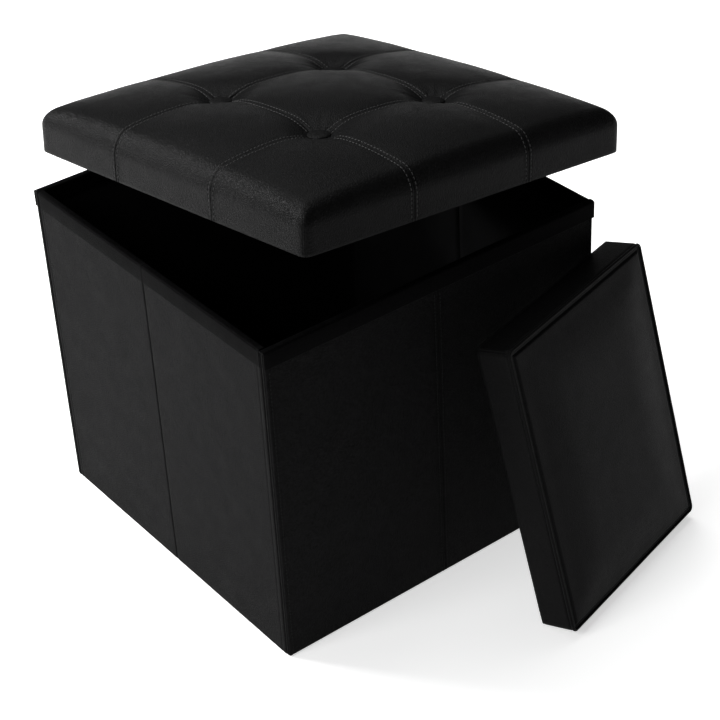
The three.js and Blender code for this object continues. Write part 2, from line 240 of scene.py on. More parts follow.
def faux_leather(name, colour, pebble, bump, rough, gloss, wear_and_highlight):
    """Black coated cloth: pebble grain, soft creases, uneven polish, and paler edges that are a painted
    highlight as well as wear.
    """
    material, tree, shader = new_material(name)
    place = object_place(tree)
    links = tree.links
    cells = node(tree, "ShaderNodeTexVoronoi", {"Scale": pebble, "Randomness": 1.0}, feature="F1")
    cracks = node(tree, "ShaderNodeTexVoronoi", {"Scale": pebble * 0.75}, feature="DISTANCE_TO_EDGE")
    creases = node(tree, "ShaderNodeTexNoise", {"Scale": 60.0, "Detail": 5.0, "Roughness": 0.6})
    patches = node(tree, "ShaderNodeTexNoise", {"Scale": 9.0, "Detail": 3.0, "Roughness": 0.5})
    fine = node(tree, "ShaderNodeTexNoise", {"Scale": pebble * 2.2, "Detail": 3.0})
    for texture in (cells, cracks, creases, patches, fine):
        links.new(place, texture.inputs["Vector"])
    crack_height = ramp(tree, cracks.outputs["Distance"], [(0.0, 0.0), (0.18, 1.0)])
    pebbles = mixed(tree, cells.outputs["Distance"], crack_height, 0.45)
    surface = mixed(tree, pebbles, fine.outputs["Fac"], 0.3)
    grain = bumped(tree, surface, bump, 0.6 * MM)
    links.new(bumped(tree, creases.outputs["Fac"], 0.05, 1 * MM, below=grain), shader.inputs["Normal"])

    dark = tuple(channel * 0.9 for channel in colour)
    light = tuple(channel * 1.1 for channel in colour)
    broad = ramp(tree, patches.outputs["Fac"], [(0.3, dark), (0.7, light)])
    speckle = node(tree, "ShaderNodeTexNoise", {"Scale": pebble * 0.9, "Detail": 2.0, "Roughness": 0.7})
    links.new(place, speckle.inputs["Vector"])
    fleck = ramp(tree, speckle.outputs["Fac"], [(0.42, 0.45), (0.58, 1.55)])
    tone = mixed(tree, broad, fleck, 1.0, data_type="RGBA", blend_type="MULTIPLY")
    # Painted highlight: convex edges (high pointiness) are painted paler. This stands for the light lines
    # that edges catch, as well as for rubbed wear.
    edge = ramp(tree, node(tree, "ShaderNodeNewGeometry").outputs["Pointiness"], [(0.52, 0.0), (0.62, 1.0)])
    worn_and_highlit = node(tree, "ShaderNodeMix", data_type="RGBA")
    worn_and_highlit.inputs["B"].default_value = tuple(min(1, channel * 2.6 + 0.012) for channel in colour) + (1,)
    strength = node(tree, "ShaderNodeMath", operation="MULTIPLY")
    strength.inputs[1].default_value = wear_and_highlight
    links.new(edge, strength.inputs[0])
    links.new(strength.outputs["Value"], worn_and_highlit.inputs["Factor"])
    links.new(tone, worn_and_highlit.inputs["A"])
    pores = mixed(tree, worn_and_highlit.outputs["Result"], crack_height, 0.35, data_type="RGBA", blend_type="MULTIPLY")
    links.new(pores, shader.inputs["Base Color"])

    polish = ramp(tree, creases.outputs["Fac"], [(0.3, rough - 0.03), (0.7, rough + 0.04)])
    links.new(polish, shader.inputs["Roughness"])
    shader.inputs["Specular IOR Level"].default_value = gloss
    return material


def thread_material(name, dark, light):
    """Waxed sewing thread: twisted plies with a slight shine."""
    material, tree, shader = new_material(name)
    twist = node(tree, "ShaderNodeTexWave", {"Scale": 900.0, "Distortion": 2.0})
    tree.links.new(object_place(tree), twist.inputs["Vector"])
    tone = ramp(tree, twist.outputs["Fac"], [(0.2, dark), (0.8, light)])
    tree.links.new(tone, shader.inputs["Base Color"])
    tree.links.new(bumped(tree, twist.outputs["Fac"], 0.5, 0.1 * MM), shader.inputs["Normal"])
    shader.inputs["Roughness"].default_value = 0.6
    shader.inputs["Specular IOR Level"].default_value = 0.1
    return material


def nonwoven_cloth(name, colour):
    """Spun-bonded lining: matted fibres with rows of small pressed dimples."""
    material, tree, shader = new_material(name)
    place = object_place(tree)
    matting = {"Scale": 900.0, "Detail": 6.0, "Roughness": 0.75, "Distortion": 1.5}
    fibres = node(tree, "ShaderNodeTexNoise", matting)
    dimples = node(tree, "ShaderNodeTexVoronoi", {"Scale": 520.0, "Randomness": 0.15}, feature="F1")
    clouds = node(tree, "ShaderNodeTexNoise", {"Scale": 30.0, "Detail": 4.0})
    for texture in (fibres, dimples, clouds):
        tree.links.new(place, texture.inputs["Vector"])
    pits = ramp(tree, dimples.outputs["Distance"], [(0.1, 0.0), (0.35, 1.0)])
    height = mixed(tree, fibres.outputs["Fac"], pits, 0.5)
    tree.links.new(bumped(tree, height, 0.4, 0.4 * MM), shader.inputs["Normal"])
    dark = tuple(channel * 0.6 for channel in colour)
    light = tuple(channel * 1.5 for channel in colour)
    tone = ramp(tree, clouds.outputs["Fac"], [(0.3, dark), (0.7, light)])
    tree.links.new(tone, shader.inputs["Base Color"])
    tree.links.new(ramp(tree, fibres.outputs["Fac"], [(0.3, 0.8), (0.7, 0.98)]), shader.inputs["Roughness"])
    shader.inputs["Specular IOR Level"].default_value = 0.2
    return material


def fibreboard_material():
    """Raw pressed board: fine brown fibres."""
    material, tree, shader = new_material("fibreboard")
    place = object_place(tree)
    matting = {"Scale": 420.0, "Detail": 8.0, "Roughness": 0.7, "Distortion": 0.8}
    fibres = node(tree, "ShaderNodeTexNoise", matting)
    clouds = node(tree, "ShaderNodeTexNoise", {"Scale": 40.0, "Detail": 3.0})
    for texture in (fibres, clouds):
        tree.links.new(place, texture.inputs["Vector"])
    pressed = mixed(tree, fibres.outputs["Fac"], clouds.outputs["Fac"], 0.4)
    tone = ramp(tree, pressed, [(0.35, (0.16, 0.1, 0.06)), (0.65, (0.42, 0.3, 0.18))])
    tree.links.new(tone, shader.inputs["Base Color"])
    tree.links.new(bumped(tree, fibres.outputs["Fac"], 0.3, 0.3 * MM), shader.inputs["Normal"])
    tree.links.new(ramp(tree, fibres.outputs["Fac"], [(0.3, 0.75), (0.7, 0.95)]), shader.inputs["Roughness"])
    return material


def twine_material():
    """Natural twisted twine, paler on the crowns of its strands."""
    material, tree, shader = new_material("twine")
    twist = node(tree, "ShaderNodeTexWave", {"Scale": 500.0, "Distortion": 3.0}, bands_direction="DIAGONAL")
    tree.links.new(object_place(tree), twist.inputs["Vector"])
    tone = ramp(tree, twist.outputs["Fac"], [(0.2, (0.4, 0.36, 0.28)), (0.8, (0.78, 0.73, 0.62))])
    tree.links.new(tone, shader.inputs["Base Color"])
    tree.links.new(ramp(tree, twist.outputs["Fac"], [(0.2, 0.9), (0.8, 0.7)]), shader.inputs["Roughness"])
    return material


def staple_metal():
    """Drawn steel wire with fine streaks."""
    material, tree, shader = new_material("staple_steel")
    brushed = node(tree, "ShaderNodeTexNoise", {"Scale": 1500.0, "Detail": 2.0})
    tree.links.new(object_place(tree), brushed.inputs["Vector"])
    tone = ramp(tree, brushed.outputs["Fac"], [(0.3, (0.45, 0.45, 0.46)), (0.7, (0.7, 0.7, 0.71))])
    tree.links.new(tone, shader.inputs["Base Color"])
    tree.links.new(ramp(tree, brushed.outputs["Fac"], [(0.3, 0.25), (0.7, 0.45)]), shader.inputs["Roughness"])
    shader.inputs["Metallic"].default_value = 1.0
    return material


BOX_LEATHER = faux_leather("box_leather", (0.0038, 0.0038, 0.0039), 640.0, 1.0, 0.6, 0.03, wear_and_highlight=0.3)
LID_LEATHER = faux_leather("lid_leather", (0.0034, 0.0034, 0.0035), 620.0, 0.85, 0.39, 0.046, wear_and_highlight=0.2)
PANEL_LEATHER = faux_leather("panel_leather", (0.0034, 0.0034, 0.0035), 900.0, 0.35, 0.45, 0.035, wear_and_highlight=0.25)
BINDING = faux_leather("rim_binding", (0.0022, 0.0022, 0.0023), 1000.0, 0.4, 0.5, 0.007, wear_and_highlight=0.15)
THREAD = thread_material("grey_thread", 0.022, 0.07)
DARK_THREAD = thread_material("black_thread", 0.003, 0.009)
LINING = nonwoven_cloth("black_lining", (0.004, 0.004, 0.0044))
FIBREBOARD = fibreboard_material()
TWINE = twine_material()
STEEL = staple_metal()


# ------------------------------------------------------------------ seams and stitches

def seam_profile(distance, strength=1.0):
    """How far a double-stitched seam moves the surface outwards, by distance from its middle line."""
    groove = -0.9 * MM * math.exp(-((distance / (0.75 * MM)) ** 2))
    band = 0.35 * MM * math.exp(-((distance / (3.6 * MM)) ** 4))
    row = -0.5 * MM * math.exp(-(((abs(distance) - SEAM_ROW_OFFSET) / (0.8 * MM)) ** 2))
    return strength * (groove + band + row)


def stitch_mesh(name, runs):
    """Many short thread stitches along runs of (point, normal) pairs."""
    points, faces = [], []
    sides = 6
    for run in runs:
        lengths = [0.0]
        for (a, _), (b, _) in zip(run, run[1:]):
            lengths.append(lengths[-1] + (b - a).length)
        total = lengths[-1]
        pitch = STITCH_LENGTH + STITCH_GAP
        count = int(total / pitch)
        for number in range(count):
            start = (number + 0.5) * pitch - STITCH_LENGTH / 2
            add_stitch(points, faces, run, lengths, start, start + STITCH_LENGTH, sides)
    return mesh_piece(name, points, faces)


def along_run(run, lengths, distance):
    index = int(np.searchsorted(lengths, distance)) - 1
    index = min(max(index, 0), len(run) - 2)
    span = lengths[index + 1] - lengths[index]
    share = (distance - lengths[index]) / span if span > 0 else 0.0
    share = min(max(share, 0.0), 1.0)
    point = run[index][0].lerp(run[index + 1][0], share)
    normal = run[index][1].lerp(run[index + 1][1], share).normalized()
    return point, normal


STITCH_STATIONS = (0.0, 0.12, 0.5, 0.88, 1.0)
STITCH_WIDTHS = (0.35, 0.85, 1.0, 0.85, 0.35)
STITCH_HEIGHTS = (-0.5, 0.35, 0.65, 0.35, -0.5)


def add_stitch(points, faces, run, lengths, start, end, sides):
    """One stitch: a little bowed thread that dives into the cloth at both ends."""
    first = len(points)
    for station, width, height in zip(STITCH_STATIONS, STITCH_WIDTHS, STITCH_HEIGHTS):
        point, normal = along_run(run, lengths, start + station * (end - start))
        ahead, _ = along_run(run, lengths, start + (station + 0.02) * (end - start))
        behind, _ = along_run(run, lengths, start + (station - 0.02) * (end - start))
        tangent = (ahead - behind).normalized()
        across = tangent.cross(normal).normalized()
        centre = point + normal * height * STITCH_RADIUS
        for side in range(sides):
            angle = 2 * math.pi * side / sides
            offset = across * math.cos(angle) + normal * math.sin(angle)
            points.append(centre + offset * width * STITCH_RADIUS)
    rings = len(STITCH_STATIONS)
    for ring in range(rings - 1):
        for side in range(sides):
            a = first + ring * sides + side
            b = first + ring * sides + (side + 1) % sides
            faces.append((a, a + sides, b + sides, b))
    faces.append(tuple(first + side for side in range(sides)))
    faces.append(tuple(first + (rings - 1) * sides + side for side in reversed(range(sides))))


# ------------------------------------------------------------------ box walls

def is_whole(wall):
    return wall.name in ("front_wall", "back_wall")


def reach_crease(end):
    """Moves the end of a half wall that is near its crease right up to the crease."""
    return math.copysign(CREASE_GAP, end) if abs(end) < 10 * MM else end


class Wall:
    """Where one wall panel stands: its outer face, its run from start to end, and its height."""

    def __init__(self, name):
        low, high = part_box(name + "_cover")
        rim_low, rim_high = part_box(name + "_rim_binding")
        self.name = name
        self.top = high.z
        self.rim = rim_high.z
        self.hem = rim_low.z
        middle = (low + high) / 2
        if high.x - low.x > high.y - low.y:
            self.along = Vector((1, 0, 0))
            self.out = Vector((0, math.copysign(1, middle.y), 0))
            self.face = max(abs(low.y), abs(high.y))
            self.start, self.end = low.x, high.x
            self.rim_start, self.rim_end = rim_low.x, rim_high.x
        else:
            self.along = Vector((0, 1, 0))
            self.out = Vector((math.copysign(1, middle.x), 0, 0))
            self.face = max(abs(low.x), abs(high.x))
            self.start, self.end = low.y, high.y
            self.rim_start, self.rim_end = rim_low.y, rim_high.y
        if not is_whole(self):
            self.start, self.end = reach_crease(self.start), reach_crease(self.end)
            self.rim_start, self.rim_end = reach_crease(self.rim_start), reach_crease(self.rim_end)
        lining_low, lining_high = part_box(name + "_lining")
        self.thickness = self.face - min(abs(lining_low.dot(self.out)), abs(lining_high.dot(self.out)))

    def point(self, run, height, proud=0.0):
        return self.along * run + self.out * (self.face + proud) + Vector((0, 0, height))


def sheet_from_grid(name, columns, rows, place, thickness):
    """A sheet through place(column, row), given its thickness on the inner side."""
    points = [place(column, row) for row in rows for column in columns]
    width = len(columns)
    faces = [
        (r * width + c, r * width + c + 1, (r + 1) * width + c + 1, (r + 1) * width + c)
        for r in range(len(rows) - 1)
        for c in range(width - 1)
    ]
    piece = mesh_piece(name, points, faces)
    return thicken(piece, thickness)


def ring_faces(rings, sides, closed=False):
    """The faces between rings of points that follow one another, the last joined to the first if closed."""
    faces = []
    for ring in range(rings if closed else rings - 1):
        here, there = ring * sides, (ring + 1) % rings * sides
        for side in range(sides):
            turn = (side + 1) % sides
            faces.append((here + side, here + turn, there + turn, there + side))
    return faces


def thicken(piece, thickness):
    solid = piece.modifiers.new("thickness", "SOLIDIFY")
    solid.thickness = abs(thickness)
    solid.offset = 0.0 if thickness == 0 else math.copysign(1, thickness) * -1
    solid.use_even_offset = True
    apply_modifiers(piece)
    return piece


def wall_undulation(wall, run, height):
    spot = wall.point(run, height)
    return 0.2 * MM * ripple(spot, 90 * MM, 3.1) + 0.07 * MM * ripple(spot, 28 * MM, 7.7)


def rolled(distance, radius):
    """How far a rounded edge has dropped back at a distance from the edge."""
    if distance >= radius:
        return 0.0
    return radius - math.sqrt(max(radius ** 2 - (radius - distance) ** 2, 0.0))


def whole_wall_path(wall):
    """The cover's route round a whole wall: up one end, across the face and down the other end.

    Each stop is (place along the wall, how proud, outward direction, depth from the face).
    """
    radius = 1.1 * MM
    depth = wall.thickness - 0.7 * MM
    route = []
    for d in spaced(radius, depth, 0.5 * MM)[::-1]:
        route.append((wall.start, -d, (-1, 0), d))
    for step in range(1, 6):
        angle = math.pi - step / 6 * math.pi / 2
        across, out = math.cos(angle), math.sin(angle)
        route.append((wall.start + radius + radius * across, -radius + radius * out, (across, out), 0.0))
    seams = (wall.start + 4 * MM, 0.0, wall.end - 4 * MM)
    middle = spaced(wall.start + radius, wall.end - radius, 4 * MM, fine_at=seams)
    route += [(run, 0.0, (0, 1), 0.0) for run in middle]
    mirrored = [(-run, proud, (-out[0], out[1]), d) for run, proud, out, d in route if proud < 0]
    return route + mirrored[::-1]


def end_relief(wall, depth):
    """The rolled edge and the groove on the end of a whole wall, by depth from its face."""
    groove = -0.95 * MM * math.exp(-(((depth - 1.6 * MM) / (0.6 * MM)) ** 2))
    roll = 0.45 * MM * math.exp(-(((depth - 3.3 * MM) / (1.3 * MM)) ** 2))
    return groove + roll - 0.7 * rolled(wall.thickness - depth, 1.4 * MM)


def face_relief(wall, run, height):
    edge = min(run - wall.start, wall.end - run)
    inset = 4.2 * MM if is_whole(wall) else 5.0 * MM
    relief = -0.4 * MM * math.exp(-(((edge - inset) / (0.8 * MM)) ** 2))
    if is_whole(wall):
        relief += 0.2 * MM * math.exp(-(((edge - 2.0 * MM) / (1.2 * MM)) ** 2))
        relief += seam_profile(run, 0.85)
    elif abs(run) < 30 * MM:
        relief = -rolled(edge, 1.8 * MM)
    else:
        relief -= 0.7 * rolled(edge, 1.4 * MM)
    return relief + wall_undulation(wall, run, height)


def wall_cover(wall):
    """The outer leather of one wall: rolled over at its foot and round its upright edges."""
    foot_roll = 2.2 * MM
    rows = spaced(0.0, wall.top, 5 * MM, fine_at=(0.0,), fine_reach=4 * MM)
    if is_whole(wall):
        route = whole_wall_path(wall)
    else:
        columns = spaced(wall.start, wall.end, 4 * MM, fine_at=(wall.start, wall.end))
        route = [(run, 0.0, (0, 1), 0.0) for run in columns]

    def place(stop, height):
        run, proud, (across, out), depth = stop
        relief = end_relief(wall, depth) if depth else face_relief(wall, run, height)
        relief = max(relief - 0.5 * rolled(height, foot_roll), -1.3 * MM)
        return wall.point(run + across * relief, height, proud + out * relief)

    piece = sheet_from_grid(wall.name + "_leather", route, rows, place, SHEET)
    face_outwards(piece)
    finish_piece(piece, BOX_LEATHER, wall.name, [wall.name + "_cover"])
    wrap = 2 * (wall.thickness - 0.7 * MM) if is_whole(wall) else 0.0
    wall_stitching(wall, lambda run, height: place((run, 0.0, (0, 1), 0.0), height))


def wall_stitching(wall, place):
    foot = 4 * MM
    heights = np.linspace(foot, wall.hem - 1 * MM, 60)
    offsets = []
    if is_whole(wall):
        offsets += [-SEAM_ROW_OFFSET, SEAM_ROW_OFFSET]
        offsets += [wall.start + 4.2 * MM, wall.end - 4.2 * MM]
    else:
        corner = wall.start if abs(wall.start) > abs(wall.end) else wall.end
        offsets.append(corner - math.copysign(5.0 * MM, corner))
    runs = [[(place(run, height), wall.out) for height in heights] for run in offsets]
    piece = stitch_mesh(wall.name + "_stitching", runs)
    finish_piece(piece, DARK_THREAD, wall.name)


def wall_board(wall):
    """The stiff board inside a wall, a little smaller than its leather."""
    low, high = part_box(wall.name + "_board")
    deselect_all()
    middle = (low + high) / 2
    bpy.ops.mesh.primitive_cube_add(size=1, location=middle)
    piece = bpy.context.object
    piece.name = wall.name + "_fibreboard"
    size = high - low
    inset = wall.along * 4 * MM + Vector((0, 0, 1.5 * MM))
    piece.scale = size - inset
    bpy.ops.object.transform_apply(location=True, rotation=True, scale=True)
    bevel = piece.modifiers.new("edges", "BEVEL")
    bevel.width = 0.5 * MM
    bevel.segments = 2
    apply_modifiers(piece)
    finish_piece(piece, FIBREBOARD, wall.name, [wall.name + "_board"])


def wall_lining(wall):
    """Black cloth glued on the inner side and turned round the board's ends, with slight waves."""
    low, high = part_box(wall.name + "_lining")
    start = low.dot(wall.along)
    end = high.dot(wall.along)
    back = wall.thickness - 0.35 * MM
    front = 1.4 * MM
    turn_start, turn_end = wall.start + 1.0 * MM, wall.end - 1.0 * MM
    route = [(turn_start, -depth) for depth in spaced(front, back, 1 * MM)[:-1]]
    if start - turn_start > 2 * MM:
        route += [(run, -back) for run in spaced(turn_start, start, 2 * MM)[:-1]]
    route += [(run, -back) for run in spaced(max(start, turn_start), min(end, turn_end), 6 * MM)]
    if turn_end - end > 2 * MM:
        route += [(run, -back) for run in spaced(end, turn_end, 2 * MM)[1:]]
    route += [(turn_end, -depth) for depth in spaced(front, back, 1 * MM)[:-1][::-1]]
    rows = spaced(low.z, high.z, 6 * MM)

    def place(stop, height):
        run, proud = stop
        wave = 0.15 * MM * ripple(wall.point(run, height), 30 * MM, 9.0) if proud == -back else 0.0
        return wall.point(run, height, proud + wave)

    piece = sheet_from_grid(wall.name + "_inner_cloth", route, rows, place, 0.5 * MM)
    face_outwards(piece)
    finish_piece(piece, LINING, wall.name, [wall.name + "_lining"])


def wall_binding(wall):
    """The rim binding: a folded strip with a rounded top, an outer and an inner leg."""
    outer = BINDING_PROUD
    inner = -(wall.thickness + BINDING_PROUD)
    half = (outer - inner) / 2
    top_round = 2.2 * MM
    leg = 0.85 * MM
    start, end = wall.rim_start, wall.rim_end
    trim_at = wall.face - 7.2 * MM if is_whole(wall) else wall.face
    under_strip = wall.rim - leg - 0.4 * MM
    profile = [(outer - 0.5 * MM, wall.hem), (outer, wall.hem + 0.6 * MM), (outer, wall.rim - top_round)]
    profile += rim_arc(half, inner + half, wall.rim - top_round, top_round)
    profile += [(inner, wall.rim - top_round), (inner, wall.hem + 0.6 * MM), (inner + 0.5 * MM, wall.hem)]
    profile += [(inner + leg, wall.hem + 0.6 * MM), (inner + leg, wall.rim - top_round)]
    profile += [(inner + leg, wall.rim - leg - 0.4 * MM), (outer - leg, wall.rim - leg - 0.4 * MM)]
    profile += [(outer - leg, wall.rim - top_round), (outer - leg, wall.hem + 0.6 * MM)]
    stations = spaced(start, end, 6 * MM)
    if is_whole(wall):
        stations = sorted(stations + [trim_at - 0.1 * MM, trim_at, -trim_at, 0.1 * MM - trim_at])
    points = []
    count = len(profile)
    for run in stations:
        for offset, height in profile:
            spot = wall.point(run, height)
            wave = 0.12 * MM * ripple(spot, 22 * MM, 2.0)
            lift = 0.1 * MM * ripple(spot, 35 * MM, 4.0)
            inner_leg = offset < inner + half and height < under_strip
            if inner_leg and abs(run) >= trim_at:
                height = under_strip - 0.001 * MM * (wall.rim - height) / MM
            sink = 0.0 if height > wall.rim - top_round else lift
            cling = (wave if offset > 0 else -wave) * 0.6
            points.append(wall.point(run, min(height + sink, wall.rim), offset + cling))
    faces = ring_faces(len(stations), count)
    faces.append(tuple(range(count)))
    faces.append(tuple((len(stations) - 1) * count + p for p in reversed(range(count))))
    piece = mesh_piece(wall.name + "_binding", points, faces, smooth=False)
    face_outwards(piece)
    only(piece)
    bpy.ops.object.shade_smooth_by_angle(angle=math.radians(35))
    finish_piece(piece, BINDING, wall.name, [wall.name + "_rim_binding"])


def rim_arc(half, middle, base, radius):
    """Points over the rounded top of the rim, from its outer side to its inner side."""
    flat = half - radius
    arc = []
    for step in range(1, 6):
        angle = step / 6 * math.pi / 2
        arc.append((middle + flat + radius * math.cos(angle), base + radius * math.sin(angle)))
    arc.append((middle + flat, base + radius))
    arc.append((middle - flat, base + radius))
    for step in range(5, 0, -1):
        angle = step / 6 * math.pi / 2
        arc.append((middle - flat - radius * math.cos(angle), base + radius * math.sin(angle)))
    return arc


def fold_gussets(walls):
    """Strips of leather behind each living hinge."""
    corner = walls["front_wall"].face
    inset = 1.1 * MM
    crease_inset = 0.9 * MM
    half = 3.0 * MM
    joints = {
        "left_crease_gusset": ("left_wall_front", "left_wall_rear", Vector((-corner + crease_inset, 0, 0))),
        "right_crease_gusset": ("right_wall_front", "right_wall_rear", Vector((corner - crease_inset, 0, 0))),
    }
    start = walls["left_wall_front"].start
    fold = start - 0.3 * MM
    joints["front_left_gusset"] = ("front_wall", "left_wall_front", Vector((-corner + inset, fold, 0)))
    joints["front_right_gusset"] = ("front_wall", "right_wall_front", Vector((corner - inset, fold, 0)))
    joints["back_left_gusset"] = ("back_wall", "left_wall_rear", Vector((-corner + inset, -fold, 0)))
    height = walls["front_wall"].top - 0.5 * MM
    for name, (first, second, middle) in joints.items():
        sign = -1 if first == "back_wall" else 1
        columns = np.linspace(-half, half, 13)
        rows = spaced(1.5 * MM, height, 8 * MM)

        def place(across, up, middle=middle, sign=sign):
            return middle + Vector((0, sign * across, up))

        piece = sheet_from_grid(name, columns, rows, place, 0.5 * MM)
        face_outwards(piece)
        finish_piece(piece, BOX_LEATHER)
        if name.startswith("back_left"):
            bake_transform(piece)
        else:
            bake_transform(piece)


def floor_sheet():
    """The sewn-in floor cloth: lightly creased and turned up along the walls."""
    turn_up = 7 * MM
    half = walls["front_wall"].face - walls["front_wall"].thickness - 0.2 * MM
    flat_part = [(place, 0.0) for place in spaced(-half + 2 * MM, half - 2 * MM, 6 * MM)]
    edge = [(half, turn_up), (half, 0.6 * turn_up)]
    edge += [(half - 0.2 * MM, 0.3 * turn_up), (half - 0.8 * MM, 0.1 * turn_up)]
    route = [(-place, height) for place, height in edge] + flat_part + edge[::-1]

    def place(across, along):
        (x, rise_x), (y, rise_y) = across, along
        inner = min((half - max(abs(x), abs(y))) / (30 * MM), 1)
        wave = ripple((x, y, 0), 70 * MM, 1.0) + 0.6 * ripple((x, y, 0), 25 * MM, 6.0)
        return Vector((x, y, 0.6 * MM + 1.1 * MM * inner * (wave * 0.5 + 0.5) + max(rise_x, rise_y)))

    piece = sheet_from_grid("floor_sheet", route, route, place, 0.5 * MM)
    face_outwards(piece)
    finish_piece(piece, LINING, "front_wall", ["floor_cloth"])
    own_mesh(piece)


# ------------------------------------------------------------------ padded forms

class Pad:
    """A padded block, open below: a rounded box whose top rises by rise(x, y)."""

    def __init__(self, size, corner, edge, rise, detail, squareness=2.0):
        self.half_x, self.half_y, self.height = size[0] / 2, size[1] / 2, size[2]
        self.corner, self.edge, self.squareness = corner, edge, squareness
        self.rise, self.detail = rise, detail
        self.swell = None

    def smooth_point(self, x, y, z):
        near_x = min(max(x, self.corner - self.half_x), self.half_x - self.corner)
        near_y = min(max(y, self.corner - self.half_y), self.half_y - self.corner)
        near_z = min(z, self.height - self.edge)
        across, along = (x - near_x) / self.corner, (y - near_y) / self.corner
        up = (z - near_z) / self.edge
        power = self.squareness
        level = (abs(across) ** power + abs(along) ** power) ** (1 / power)
        reach = math.hypot(level, up)
        if reach < 1e-9:
            return Vector((near_x, near_y, near_z + self.rise(near_x, near_y))), Vector((0, 0, 1))
        across, along, up, level = across / reach, along / reach, up / reach, level / reach
        spot = Vector((near_x + across * self.corner, near_y + along * self.corner, near_z + up * self.edge))
        spot.z += up * self.rise(spot.x, spot.y)
        share_x = math.copysign(abs(across / level) ** (power - 1), across) if level > 1e-9 else 0.0
        share_y = math.copysign(abs(along / level) ** (power - 1), along) if level > 1e-9 else 0.0
        out = Vector((level * share_x / self.corner, level * share_y / self.corner, up / self.edge))
        return spot, out.normalized()

    def point(self, x, y, z):
        spot, out = self.smooth_point(x, y, z)
        if self.swell is not None:
            spot = spot + self.swell(spot)
        return spot + out * self.detail(spot, out), out


def pad_mesh(name, pad, xs, ys, zs, hem):
    """Closed mesh of a pad: top, four sides, and a hem turned under to a flat bottom."""
    points, index = [], {}

    def corner_of(i, j, k):
        key = (i, j, k)
        if key not in index:
            index[key] = len(points)
            points.append(pad.point(xs[i], ys[j], zs[k])[0])
        return index[key]

    nx, ny, nz = len(xs) - 1, len(ys) - 1, len(zs) - 1
    faces = []
    for i in range(nx):
        for j in range(ny):
            steps = ((i, j), (i + 1, j), (i + 1, j + 1), (i, j + 1))
            faces.append([corner_of(*step, nz) for step in steps])
    ring = [(i, 0) for i in range(nx)] + [(nx, j) for j in range(ny)]
    ring += [(i, ny) for i in range(nx, 0, -1)] + [(0, j) for j in range(ny, 0, -1)]
    count = len(ring)
    for k in range(nz):
        for r in range(count):
            a, b = ring[r], ring[(r + 1) % count]
            faces.append([corner_of(*a, k), corner_of(*b, k), corner_of(*b, k + 1), corner_of(*a, k + 1)])
    inner_x = pad.half_x - hem
    inner_y = pad.half_y - hem
    inner = []
    for i, j in ring:
        outer = points[corner_of(i, j, 0)]
        spot = Vector((outer.x * inner_x / pad.half_x, outer.y * inner_y / pad.half_y, 0))
        spot.z = 0.25 * MM * ripple(spot, 12 * MM, 8.0) + 0.2 * MM
        inner.append(len(points))
        points.append(spot)
    for r in range(count):
        a, b = ring[r], ring[(r + 1) % count]
        faces.append([corner_of(*b, 0), corner_of(*a, 0), inner[r], inner[(r + 1) % count]])
    faces.append(list(reversed(inner)))
    return mesh_piece(name, points, faces)


# ------------------------------------------------------------------ lid

LID_JOINT = next(joint for joint in frame["joints"] if joint["name"] == "lid_tip")
BUTTONS = {
    front + "_" + side: (x * LID_SIDE_SEAMS, y * LID_SIDE_SEAMS)
    for front, y in (("front", -1), ("back", 1))
    for side, x in (("left", -1), ("right", 1))
}
BUTTON_RADIUS = 11 * MM


def lid_matrix():
    """From the lid built flat round the origin to where it stands tipped open."""
    pivot = Vector(LID_JOINT["pos_m"])
    tip = Matrix.Rotation(math.radians(-LID_JOINT["range_deg"][0]), 4, Vector(LID_JOINT["axis"]))
    seated = Matrix.Translation((0, 0, pivot.z))
    return Matrix.Translation(pivot) @ tip @ Matrix.Translation(-pivot) @ seated


def lid_rise(x, y):
    """Crown of the padding, drawn down along the seams and deep at each button."""
    half = LID_SIDE / 2
    seam_dip, seam_flat, seam_reach = 3.2 * MM, 3 * MM, 15 * MM
    button_dip, button_flat, button_reach = 7.5 * MM, 9 * MM, 17 * MM
    across = max(1 - (x / half) ** 2, 0)
    along = max(1 - (y / half) ** 2, 0)
    height = LID_CROWN * math.sqrt(across * along)
    for line, fade in ((x, along), (y, across)):
        gap = min(abs(line - LID_SIDE_SEAMS), abs(line + LID_SIDE_SEAMS))
        gap = max(gap - seam_flat, 0)
        height -= seam_dip * fade ** 0.7 * math.exp(-gap / seam_reach)
    for bx, by in BUTTONS.values():
        reach = max(math.hypot(x - bx, y - by) - button_flat, 0)
        height -= button_dip * math.exp(-((reach / button_reach) ** 1.4))
    return height


def lid_detail(spot, out):
    """Seam grooves, corner seams, puckers at the buttons and slight waves of the leather."""
    amount = 0.0
    for line in (-LID_SIDE_SEAMS, LID_SIDE_SEAMS):
        if abs(out.x) < 0.5:
            amount += seam_profile(spot.x - line)
        if abs(out.y) < 0.5:
            amount += seam_profile(spot.y - line)
    flat = math.hypot(out.x, out.y)
    if flat > 0.5 and abs(out.x) > 1e-6 and abs(out.y) > 1e-6:
        turn = math.atan2(abs(out.y), abs(out.x)) - math.pi / 4
        amount += seam_profile(turn * 12 * MM, 0.7) * min((flat - 0.5) * 4, 1)
    for number, (bx, by) in enumerate(BUTTONS.values()):
        reach = math.hypot(spot.x - bx, spot.y - by)
        if reach < 60 * MM:
            angle = math.atan2(spot.y - by, spot.x - bx)
            folds = math.cos(13 * angle + 2.1 * number) + 0.6 * math.cos(21 * angle + 1.3 * number + 0.7)
            fade = math.exp(-((max(reach - 12 * MM, 0) / (13 * MM)) ** 1.3)) * min(reach / (10 * MM), 1)
            amount += 0.5 * MM * folds * fade
    amount += 0.3 * MM * ripple(spot, 55 * MM, 2.2) + 0.12 * MM * ripple(spot, 18 * MM, 5.5)
    return amount


def make_lid_pad():
    size = (LID_SIDE, LID_SIDE, LID_EDGE_HEIGHT)
    return Pad(size, 15 * MM, 14 * MM, lid_rise, lid_detail, squareness=4.0)


